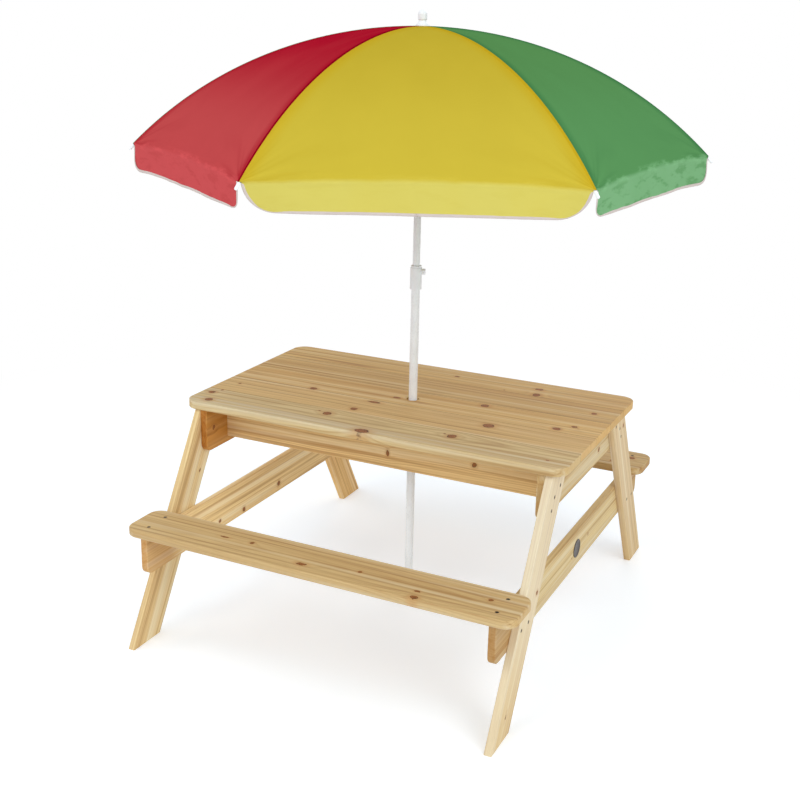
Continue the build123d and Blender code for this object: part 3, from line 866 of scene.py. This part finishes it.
@dataclass
class Screws:
    """Countersunk wood screws with a cross recess, in the frame's three groups."""

    head: float = 0.0043
    shank: float = 0.00225
    sink: float = 0.0008
    arm: float = 0.0027
    arm_half: float = 0.00065
    recess: float = 0.0022
    plank: float = 0.016
    bench: float = 0.018
    grip: float = 0.014
    leg_slope: float = 0.58209
    leg_foot: float = 0.520
    leg_half: float = 0.04629
    leg_outer: float = 0.420
    rail_middle: float = 0.396
    bench_middle: float = 0.4329
    bench_top: float = 0.269
    bench_wide: float = 0.116
    bearer_high: float = 0.19854
    leg_heads: tuple[tuple[float, float], ...] = ((0.431, -0.55), (0.417, -0.02), (0.393, 0.0))
    bearer_heads: tuple[float, ...] = (-0.25, 0.6)
    bench_heads: tuple[float, ...] = (-0.25, 0.25)

    def ring(self, radius: float, high: float) -> list[Point]:
        """A round of points, one for each corner of the cross and one between."""
        return [(radius * math.cos(turn), radius * math.sin(turn), high) for turn in self.turns()]

    def turns(self) -> list[float]:
        """Directions of the cross's corners and of the points between them.

        Returns:
            The directions in radians.
        """
        corner = math.atan2(self.arm_half, self.arm)
        steps = (-corner, 0.0, corner, math.pi / 8, math.pi / 4, 3 * math.pi / 8)
        return [quarter * math.pi / 2 + step for quarter in range(4) for step in steps]

    def cross(self, share: float, high: float) -> list[Point]:
        """The outline of the cross recess.

        Args:
            share: Share of its full width.
            high: Its height over the surface.

        Returns:
            The points, in the screw's own frame.
        """
        points = []
        for turn in self.turns():
            beside = abs((turn + math.pi / 4) % (math.pi / 2) - math.pi / 4)
            on_end = beside <= math.atan2(self.arm_half, self.arm) + 1e-9
            reach = share * (self.arm / math.cos(beside) if on_end else self.arm_half / math.sin(beside))
            points.append((reach * math.cos(turn), reach * math.sin(turn), high))
        return points

    def group(
        self, name: str, places: list[tuple[Point, Point]], length: float, material: bpy.types.Material
    ) -> None:
        """Makes one piece of all the screws of a group.

        Args:
            name: The group's node.
            places: For each screw the place of its head and the way that it looks.
            length: How far the shank reaches under the surface.
            material: The screws' metal.
        """
        draw = random.Random(name)
        rings = [
            self.cross(0.5, -self.sink - self.recess),
            self.cross(1.0, -self.sink),
            self.ring(self.head * 0.93, -self.sink),
            self.ring(self.head, -self.sink - 0.0003),
            self.ring(self.shank, -self.sink - self.head + self.shank),
            self.ring(self.shank, -length),
        ]
        count = len(rings[0])
        points: list[Vector] = []
        faces: list[Face] = []
        for at, out in places:
            first = len(points)
            turn = Matrix.Rotation(draw.uniform(0, math.pi), 3, "Z")
            basis = Vector(out).to_track_quat("Z", "Y").to_matrix() @ turn
            points += [Vector(at) + basis @ Vector(p) for ring in rings for p in ring]
            walls = grid_faces(len(rings), count, closed=True, flip=True)
            faces += [tuple(first + i for i in face) for face in walls]
            faces.append(tuple(first + i for i in range(count)))
            faces.append(tuple(first + len(rings) * count - 1 - i for i in range(count)))
        made = mesh_piece(f"{name}_cross_head", points, faces, "table", smooth=False)
        made.data.materials.append(material)
        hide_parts(name)
        log.info("made %s", name)

    def on_leg(self, end: int, side: int, high: float, across: float) -> tuple[Point, Point]:
        """A place on a leg's outer face and the way that it looks."""
        reach = self.leg_foot - self.leg_slope * high - self.leg_half * (1 - across)
        return (end * self.leg_outer, side * reach, high), (end, 0, 0)

    def make(self) -> None:
        """Makes the screws of the legs, the seat bearers and the benches."""
        # The screw metal is dark grey: partly its own colour and partly painted shade of the recesses that
        # the heads sit in.
        steel = Metal("screw_metal", shade(84, 80, 74), 0.42, 0.75).make()
        ends = [(end, side) for end in (-1, 1) for side in (-1, 1)]
        legs = [self.on_leg(*place, *head) for place in ends for head in self.leg_heads]
        bearers = [self.on_leg(*at, self.bearer_high, across) for at in ends for across in self.bearer_heads]
        reaches = [self.bench_middle + across * self.bench_wide for across in self.bench_heads]
        benches = [
            ((end * self.rail_middle, side * reach, self.bench_top), (0, 0, 1))
            for end, side in ends
            for reach in reaches
        ]
        self.group("leg_screws", legs, self.plank + self.grip, steel)
        self.group("bearer_screws", bearers, self.plank + self.grip, steel)
        self.group("bench_screws", benches, self.bench + self.grip, steel)


@dataclass
class Plate:
    """A bare oval plate with a raised rim on the right seat bearer."""

    middle: Point = (0.404, 0.0, 0.208)
    half_wide: float = 0.022
    half_high: float = 0.0205
    thick: float = 0.0016
    sides: int = 56
    rings: tuple[tuple[float, float], ...] = (
        (1.0, -0.0002), (1.0, 0.7), (0.985, 0.93), (0.955, 1.0), (0.90, 1.0), (0.87, 0.8), (0.84, 0.6),
    )

    def make(self) -> None:
        """Makes the plate on the bearer's outer face."""
        wide, high = self.half_wide, self.half_high
        points = [
            Vector(self.middle) + Vector((self.thick * rise, wide * share * c, high * share * s))
            for share, rise in self.rings
            for c, s in around(self.sides)
        ]
        faces = grid_faces(len(self.rings), self.sides, closed=True)
        faces.append(tuple(range(len(points) - self.sides, len(points))))
        made = mesh_piece("bare_oval_plate", points, faces, "table")
        made.data.materials.append(Moulded("dark_plate", shade(66, 54, 46), 0.42).make())


@dataclass
class Parasol:
    """The pole, crown, runner, ribs and stretchers."""

    ribs: int = 6

    def each(self, kind: str) -> list[str]:
        """Names of the nodes of a kind that there is one of at every rib."""
        return [f"{kind}_{number}" for number in range(1, self.ribs + 1)]

    def dress(self) -> None:
        """Finishes the white tubes, the plastic pieces and the wires."""
        powder = Moulded("powder_coat", shade(247, 250, 253), 0.3).make()
        plastic = Moulded("white_plastic", shade(246, 249, 252), 0.34).make()
        wire = Metal("wire_steel", shade(176, 176, 174), 0.28).make()
        moulded = ["pole_foot", "collar", "thumbscrew", "crown", "runner", "finial"]
        groups = (
            (powder, ["lower_pole", "upper_pole"] + self.each("rib") + self.each("stretcher")),
            (plastic, moulded + self.each("rib_cap")),
            (wire, ["crown_wire", "runner_catch"]),
        )
        for material, nodes in groups:
            for node in nodes:
                paint(node, material)


def rumple(point: Vector, layers: Layers) -> float:
    """Uneven rise of a cloth at a point, from layers of a height and a scale."""
    return sum(high * noise.noise(point * scale) for high, scale in layers)


class Side(Enum):
    """Which side of its rib a half of a gore lies on."""

    BEFORE = -1
    AFTER = 1


@dataclass
class Canopy:
    """The sewn hexagon: twelve half gores, each hung from a rib, with its valance and piping."""

    ribs: int = 6
    first_turn: float = 24.5
    apex: float = 1.297
    rim_high: float = 1.044
    rim: float = 0.612
    eye: float = 0.009
    thick: float = 0.0005
    lie: float = 0.0004
    rows: int = 46
    crease_rows: int = 6
    columns: int = 18
    valance: float = 0.054
    corner: float = 0.062
    corner_start: float = 0.005
    shoulder: float = 0.005
    corner_steps: int = 14
    valance_rows: int = 12
    valance_columns: int = 30
    tape_half: float = 0.0029
    tape_thick: float = 0.0009
    keep: float = 0.37
    gather_turn: float = 0.22
    gather_lift: float = 0.045
    seam_wide: float = 0.0035
    seam_spread: float = 0.006
    seam_lap: float = 0.0015
    seam_proud: float = 0.0005
    colours: tuple[str, ...] = ("red", "yellow", "green")
    curls: tuple[float, ...] = (-0.015, 0.011, 0.011, -0.015, 0.011, 0.011)
    curl_reach: float = 0.07
    draw_in: float = 0.011
    draw_from: float = 0.962
    corner_share: float = 0.93
    sag: float = 0.006
    pull: float = 0.0045
    pull_turns: float = 17
    pull_reach: float = 0.11
    pull_start: float = 0.03
    waves: Layers = ((0.0018, 9.0), (0.0007, 27.0))
    sways: Layers = ((0.0022, 11.0), (0.0011, 30.0))
    puckers: Layers = ((0.0011, 75.0),)
    ripple: float = 0.0012
    ripple_turns: float = 34.0
    ripple_step: float = 2.1
    shades: dict[str, tuple[Colour, Colour, Colour, Colour]] = field(
        default_factory=lambda: {
            "red": (shade(172, 17, 41), shade(190, 72, 73), shade(198, 80, 82), shade(164, 2, 33)),
            "yellow": (shade(194, 170, 50), shade(200, 178, 58), shade(210, 197, 98), shade(196, 163, 30)),
            "green": (shade(87, 140, 80), shade(89, 145, 87), shade(124, 174, 124), shade(58, 118, 68)),
        }
    )

    @property
    def bow(self) -> float:
        """Radius of the arc over a rib."""
        drop = self.apex - self.rim_high
        return (self.rim**2 + drop**2) / (2 * drop)

    @property
    def half(self) -> float:
        """Half of the angle between two ribs."""
        return math.pi / self.ribs

    def rib_frame(self, number: int) -> tuple[Vector, Vector]:
        """Outward and sideways directions of a rib, counted from 1."""
        turn = math.radians(self.first_turn) + 2 * self.half * (number - 1)
        return Vector((math.cos(turn), math.sin(turn), 0)), Vector((-math.sin(turn), math.cos(turn), 0))

    def gore_out(self, number: int, side: Side) -> Vector:
        """Outward direction of the middle of the gore that a half belongs to."""
        turn = math.radians(self.first_turn) + 2 * self.half * (number - 1) + side.value * self.half
        return Vector((math.cos(turn), math.sin(turn), 0))

    def colour_of(self, number: int, side: Side) -> str:
        """Colour of the gore on one side of a rib."""
        return self.colours[(number - 1 + (0 if side is Side.AFTER else -1)) % 3]

    def on_gore(self, number: int, side: Side, down: float, across: float) -> Vector:
        """Point on the cloth.

        Args:
            number: The rib's number.
            side: Which side of the rib.
            down: Share of the way from the eye to the rim.
            across: Share of the way from the rib to the gore's middle.

        Returns:
            The point in the row frame.
        """
        out, sideways = self.rib_frame(number)
        start, end = math.asin(self.eye / self.bow), math.asin(self.rim / self.bow)
        angle = start + (end - start) * down
        reach, high = self.bow * math.sin(angle), self.apex - self.bow * (1 - math.cos(angle))
        across_way = sideways * side.value * math.cos(self.half) * math.sin(self.half)
        across_way -= out * math.sin(self.half) ** 2
        point = out * reach + across_way * (reach * across) + Vector((0, 0, high))
        gore = self.gore_out(number, side)
        level = math.atan2(math.sin(angle), math.cos(angle) * math.cos(self.half))
        normal = gore * math.sin(level) + Vector((0, 0, math.cos(level)))
        free = math.sin(min(1.0, across / 0.25) * math.pi / 2) if down < 0.98 else 0.0
        free *= math.sin(math.pi * min(1.0, down * 1.02)) ** 0.7
        sag = -self.sag * math.sin(across * math.pi / 2) ** 2 * math.sin(math.pi * down) ** 1.2
        tip = out * self.rim + Vector((0, 0, self.rim_high))
        away = (point - tip).length
        bearing = math.atan2(abs((point - tip).dot(sideways)), max(1e-6, -(point - tip).dot(out)))
        fold = self.pull * math.sin(bearing * self.pull_turns) * math.exp(-away / self.pull_reach)
        fold *= away / (away + self.pull_start)
        late = min(1.0, max(0.0, (down - self.draw_from) / (1 - self.draw_from)))
        inward = self.lobe(across) * self.draw_in * late**1.5
        return point + normal * (sag + free * (fold + rumple(point, self.waves)) - self.lie) - gore * inward

    def lobe(self, across: float) -> float:
        """How much of the slack at a gore's middle there is at a share of the way to it."""
        return 1 - (1 - min(1.0, across)) ** 2.5

    def outline(self) -> list[tuple[float, float, float]]:
        """Lower edge of a half valance, from the rib to the gore's middle.

        Returns:
            For each point its distance from the rib, that of the seam's point over it, and its depth.
        """
        run, drop = self.corner - self.corner_start, self.valance - self.shoulder
        radius, turn = (run**2 + drop**2) / (2 * drop), 2 * math.atan2(drop, run)
        end = self.rim * math.sin(self.half)
        points = [(self.corner_start, self.corner_start, 0.0)]
        for step in range(self.corner_steps + 1):
            share = step / self.corner_steps
            left = turn * (1 - share)
            seam = self.corner_start + run * share
            rise = radius * (1 - math.cos(left))
            points.append((self.corner - radius * math.sin(left), seam, self.valance - rise))
        for step in range(1, self.valance_columns + 1):
            reach = self.corner + (end - self.corner) * step / self.valance_columns
            points.append((reach, reach, self.valance))
        return points

    def on_valance(
        self, number: int, side: Side, distance: float, top: float, depth: float, share: float
    ) -> Vector:
        """Point on a half valance.

        Args:
            number: The rib's number.
            side: Which side of the rib.
            distance: Distance from the rib along the rim at the lower edge.
            top: Distance from the rib along the rim at the seam.
            depth: Depth of the lower edge there.
            share: Share of the way from the seam to the lower edge.

        Returns:
            The point in the row frame.
        """
        out, sideways = self.rib_frame(number)
        gore = self.gore_out(number, side)
        along = (sideways * side.value * math.cos(self.half) - out * math.sin(self.half)).normalized()
        run = top + (distance - top) * share
        point = out * self.rim + along * run + Vector((0, 0, self.rim_high - depth * share))
        beside = (self.rim * math.sin(self.half) - run) * side.value
        gore_number = (number - 1 + (0 if side is Side.AFTER else -1)) % self.ribs
        sway = rumple(point, self.sways)
        sway += self.ripple * math.sin(beside * self.ripple_turns + self.ripple_step * gore_number)
        pucker = rumple(point, self.puckers) * math.exp(-share * 2.5)
        hung = share * depth / self.valance
        curl = self.curls[number - 1] * hung**2 * math.exp(-((run / self.curl_reach) ** 2))
        curl += self.draw_in * self.lobe(run / (self.rim * math.sin(self.half)))
        return point + gore * (sway * min(1.0, share * 1.4) + pucker * min(1.0, share * 8) - curl - self.lie)

    def down(self, row: int) -> float:
        """Place of a row of points, with the rows closer together at the crease.

        Args:
            row: The row, counted from the eye.

        Returns:
            Share of the way to the rim.
        """
        last = self.rows - self.crease_rows
        if row <= last:
            return self.draw_from * row / last
        return self.draw_from + (1 - self.draw_from) * (row - last) / self.crease_rows

    def gore_piece(self, number: int, side: Side, material: bpy.types.Material) -> bpy.types.Object:
        """Makes one half gore as a single curved sheet.

        Args:
            number: The rib's number.
            side: Which side of the rib.
            material: Its cloth.

        Returns:
            The half gore.
        """
        points = [
            self.on_gore(number, side, self.down(row), column / self.columns)
            for row in range(self.rows + 1)
            for column in range(self.columns + 1)
        ]
        faces = grid_faces(self.rows + 1, self.columns + 1, flip=side is Side.BEFORE)
        colour = self.colour_of(number, side)
        name = f"{colour}_half_gore_{number}_{side.name.lower()}"
        made = mesh_piece(name, points, faces, f"rib_{number}")
        self.finish_cloth(made, material)
        return made

    def finish_cloth(self, made: bpy.types.Object, material: bpy.types.Material) -> None:
        """Gives a sheet its thickness and cloth.

        Args:
            made: The sheet.
            material: Its cloth.
        """
        made.data.materials.append(material)
        uses = Counter(key for face in made.data.polygons for key in face.edge_keys)
        for edge in made.data.edges:
            edge.use_edge_sharp = uses[edge.key] == 1
        wall = made.modifiers.new("cloth", "SOLIDIFY")
        wall.thickness = self.thick
        wall.offset = -1.0

    def valance_pieces(
        self, number: int, side: Side, material: bpy.types.Material, trim: bpy.types.Material
    ) -> tuple[bpy.types.Object, bpy.types.Object]:
        """Makes one half valance and the piping along its lower edge.

        Args:
            number: The rib's number.
            side: Which side of the rib.
            material: Its cloth.
            trim: The piping's tape.

        Returns:
            The half valance and the piping.
        """
        edge = self.outline()
        points = [
            self.on_valance(number, side, distance, seam, depth, row / self.valance_rows)
            for row in range(self.valance_rows + 1)
            for distance, seam, depth in edge
        ]
        faces = grid_faces(self.valance_rows + 1, len(edge), flip=side is Side.BEFORE)
        colour = self.colour_of(number, side)
        name = f"{colour}_half_valance_{number}_{side.name.lower()}"
        cloth = mesh_piece(name, points, faces, f"rib_{number}")
        self.finish_cloth(cloth, material)
        cord_points, cord_faces = self.tape(points[-len(edge):], self.gore_out(number, side))
        piping = mesh_piece(f"piping_{number}_{side.name.lower()}", cord_points, cord_faces, f"rib_{number}")
        piping.data.materials.append(trim)
        return cloth, piping

    def tape(self, edge: list[Vector], face: Vector) -> tuple[list[Vector], list[Face]]:
        """Bias tape folded over an edge.

        Args:
            edge: Points of the cloth's edge.
            face: The way that the cloth looks.

        Returns:
            Its points and faces.
        """
        points, sides = [], 10
        for index, at in enumerate(edge):
            ahead = (edge[min(index + 1, len(edge) - 1)] - edge[max(index - 1, 0)]).normalized()
            inward = ahead.cross(face).normalized()
            inward = inward if inward.z > 0 else -inward
            middle = at + inward * (self.tape_half - 0.0006)
            wide, thick = inward * self.tape_half, face * self.tape_thick
            points += [middle + wide * c + thick * s for c, s in around(sides)]
        faces = grid_faces(len(edge), sides, closed=True)
        faces.append(tuple(range(sides))[::-1])
        faces.append(tuple(range(len(points) - sides, len(points))))
        return points, faces

    def seam(self, number: int, material: bpy.types.Material) -> bpy.types.Object:
        """Makes the felled seam beside a rib, in the gore before it, wider towards the top.

        Args:
            number: The rib's number.
            material: Its cloth.

        Returns:
            The seam.
        """
        out, _ = self.rib_frame(number)
        points = []
        for row in range(self.rows + 1):
            down = self.down(row)
            reach = max(0.012, self.on_gore(number, Side.AFTER, down, 0.0).dot(out) * math.sin(self.half))
            wide = self.seam_wide + self.seam_spread * (1 - down)
            share = min(0.6, wide / reach)
            lap = min(0.2, self.seam_lap / reach)
            for side, amount, rise in (
                (Side.BEFORE, share, 0.0),
                (Side.BEFORE, share * 0.85, 1.0),
                (Side.BEFORE, share * 0.4, 1.0),
                (Side.AFTER, 0.0, 1.0),
                (Side.AFTER, lap, 0.0),
            ):
                proud = Vector((0, 0, self.seam_proud * rise))
                points.append(self.on_gore(number, side, down, amount) + proud)
        made = mesh_piece(f"seam_{number}", points, grid_faces(self.rows + 1, 5), f"rib_{number}")
        self.finish_cloth(made, material)
        return made

    def gather(self, number: int, side: Side) -> tuple[Vector, Vector]:
        """Works out how a half gore draws together as the canopy folds, towards its rib and outwards.

        Args:
            number: The rib's number.
            side: Which side of the rib.

        Returns:
            The way along which it draws together, and a point that stays in place.
        """
        out, sideways = self.rib_frame(number)
        chord = (out * (self.rim - self.eye) + Vector((0, 0, self.rim_high - self.apex))).normalized()
        rise = out * -chord.z + Vector((0, 0, chord.dot(out)))
        axis = sideways * side.value * math.cos(self.gather_turn) - rise * math.sin(self.gather_turn)
        return axis, out * self.rim + Vector((0, 0, self.rim_high)) + rise * self.gather_lift

    def half_area(self) -> float:
        """Works out the flat area of a half gore.

        Returns:
            The area in square metres.
        """
        total, steps = 0.0, 400
        start, end = math.asin(self.eye / self.bow), math.asin(self.rim / self.bow)
        for step in range(steps):
            angle = start + (end - start) * (step + 0.5) / steps
            slant = math.hypot(math.cos(angle) * math.cos(self.half), math.sin(angle)) * self.bow
            total += self.bow * math.sin(angle) * math.sin(self.half) * slant * (end - start) / steps
        return total

    def make(self) -> None:
        """Builds the whole canopy and hands it to the ribs."""
        cloths, seams = {}, {}
        for index, colour in enumerate(self.colours):
            turn = self.first_turn + math.degrees(self.half) * (2 * index + 1)
            high, low, hang, taut = self.shades[colour]
            dark = times(taut, 0.7 if colour == "red" else 0.95)
            # The painted highlights and shade along the crease are weaker on the yellow cloth.
            streaks = 0.12 if colour == "yellow" else 0.75
            cloths[colour] = Cloth(f"{colour}_cloth", high, low, hang, taut, turn, streaks=streaks).make()
            seams[colour] = Cloth(f"{colour}_seam_cloth", dark, dark, dark, dark, turn, streaks=0.0).make()
        trim = Moulded("white_piping", shade(206, 192, 185), 0.7).make()
        for number in range(1, self.ribs + 1):
            strip = self.seam(number, seams[self.colour_of(number, Side.BEFORE)])
            for side in Side:
                colour = self.colour_of(number, side)
                gore = self.gore_piece(number, side, cloths[colour])
                hanging, piping = self.valance_pieces(number, side, cloths[colour], trim)
                self.half_area()
                axis, still = self.gather(number, side)
                for piece in (gore, hanging, piping):
                    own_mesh(piece)
            still = (0, 0, self.rim_high)
            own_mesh(strip)
            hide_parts(f"canopy_at_rib_{number}")
            log.info("made the cloth at rib %d", number)


@dataclass
class Studio:
    """Floor, lights and camera."""

    camera_at: Point = (1.0920, -2.3624, 1.3440)
    azimuth: float = 25.933
    elevation: float = 17.12
    roll: float = 1.139
    sensor: float = 36.0
    lens_share: float = 1211.23 / 800
    shift: tuple[float, float] = (0.01159, -0.03152)
    floor_reach: float = 30.0
    floor_rings: int = 24
    floor_spokes: int = 64
    floor_lift: float = 0.05
    fade: tuple[float, float] = (1.0, 2.2)
    seen_lift: Colour = (0.17, 0.205, 0.245)
    cool: Colour = (0.94, 0.975, 1.0)
    white: Colour = (1.0, 1.0, 1.0)
    surround: float = 0.65
    lamp_wide: float = 2.4
    aim: Point = (0, 0, 0.6)
    lamps: tuple[tuple[str, Point, float], ...] = (
        ("right_lamp", (3.1, -1.5, 2.5), 50),
        ("front_lamp", (-1.0, -3.4, 2.8), 41),
        ("left_lamp", (-3.5, -0.6, 2.5), 24),
        ("rear_lamp", (-0.3, 3.6, 2.9), 34),
    )

    def floor_paint(self) -> bpy.types.Material:
        """A pale paint that fades into the white backdrop with distance from the table.

        Returns:
            The material.
        """
        g = Graph("studio_floor")
        spot = g.place()
        pale = shade(247, 247, 247)
        cloud = g.span(g.noise(spot, 2.0), 0.3, 0.7)
        g.dress(g.blend(cloud, pale, times(pale, 0.99)), Roughness=0.9, Specular_IOR_Level=0.1)
        direct = g.direct()
        even = g.node("ShaderNodeEmission", self.cool, self.floor_lift).outputs[0]
        seen = g.node("ShaderNodeEmission", self.seen_lift, direct).outputs[0]
        glow = g.node("ShaderNodeAddShader", even, seen).outputs[0]
        lifted = g.node("ShaderNodeAddShader", g.shader.outputs[0], glow).outputs[0]
        clean = g.node("ShaderNodeEmission", self.white, 1.0).outputs[0]
        share = g.mul(direct, g.span(g.length(spot), *self.fade))
        mixed = g.node("ShaderNodeMixShader", share, lifted, clean).outputs[0]
        g.feed(g.tree.nodes["Material Output"].inputs["Surface"], mixed)
        return g.material

    def floor(self) -> None:
        """A round floor under the table."""
        rings, spokes = self.floor_rings, self.floor_spokes
        reaches = [self.floor_reach * (ring / rings) ** 2 for ring in range(1, rings + 1)]
        points = [Vector((0, 0, 0))]
        points += [Vector((reach * c, reach * s, 0)) for reach in reaches for c, s in around(spokes)]
        faces: list[Face] = [(0, 1 + spoke, 1 + (spoke + 1) % spokes) for spoke in range(spokes)]
        faces += [tuple(i + 1 for i in face) for face in grid_faces(rings, spokes, closed=True, flip=True)]
        made = mesh_piece("studio_floor", points, faces, None, smooth=False)
        made.data.materials.append(self.floor_paint())

    def lamp(self, name: str, at: Point, power: float) -> None:
        """A soft square lamp that looks at the table.

        Args:
            name: The lamp's name.
            at: Its place.
            power: Its power in watts.
        """
        light = bpy.data.lights.new(name, "AREA")
        light.size, light.energy, light.color = self.lamp_wide, power, self.cool
        made = bpy.data.objects.new(name, light)
        made.location = at
        made.rotation_mode = "QUATERNION"
        made.rotation_quaternion = (Vector(at) - Vector(self.aim)).to_track_quat("Z", "Y")
        bpy.context.scene.collection.objects.link(made)

    def sky(self) -> None:
        """An even surround that the camera sees as white."""
        g = Surround("studio_surround")
        bpy.context.scene.world = g.world
        even = g.node("ShaderNodeBackground", self.cool, self.surround).outputs[0]
        seen = g.node("ShaderNodeBackground", self.white, 1.0).outputs[0]
        mixed = g.node("ShaderNodeMixShader", g.direct(), even, seen).outputs[0]
        g.node("ShaderNodeOutputWorld", mixed)

    def camera(self) -> None:
        """The camera at the photograph's angle."""
        data = bpy.data.cameras.new("camera")
        data.sensor_width = self.sensor
        data.lens = self.sensor * self.lens_share
        data.shift_x, data.shift_y = self.shift
        data.clip_start, data.clip_end = 0.05, 100.0
        turn, rise, roll = (math.radians(a) for a in (self.azimuth, self.elevation, self.roll))
        back = Vector((math.sin(turn) * math.cos(rise), -math.cos(turn) * math.cos(rise), math.sin(rise)))
        right = (-back).cross(Vector((0, 0, 1))).normalized()
        up = right.cross(-back)
        tilt, lean = math.cos(roll), math.sin(roll)
        made = bpy.data.objects.new("camera", data)
        matrix = Matrix((right * tilt + up * lean, up * tilt - right * lean, back)).transposed().to_4x4()
        matrix.translation = Vector(self.camera_at)
        made.matrix_world = matrix
        bpy.context.scene.collection.objects.link(made)
        bpy.context.scene.camera = made

    def make(self) -> None:
        """Sets up the studio."""
        bpy.context.scene.view_settings.view_transform = "Standard"
        self.floor()
        self.sky()
        for name, at, power in self.lamps:
            self.lamp(name, at, power)
        self.camera()


def main() -> None:
    """Builds the looks around the frame."""
    logging.basicConfig(level=logging.INFO, format="%(name)s: %(message)s")
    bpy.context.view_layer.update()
    Table().dress()
    Screws().make()
    Plate().make()
    Parasol().dress()
    Canopy().make()
    Studio().make()


if __name__ == "__main__":
    main()
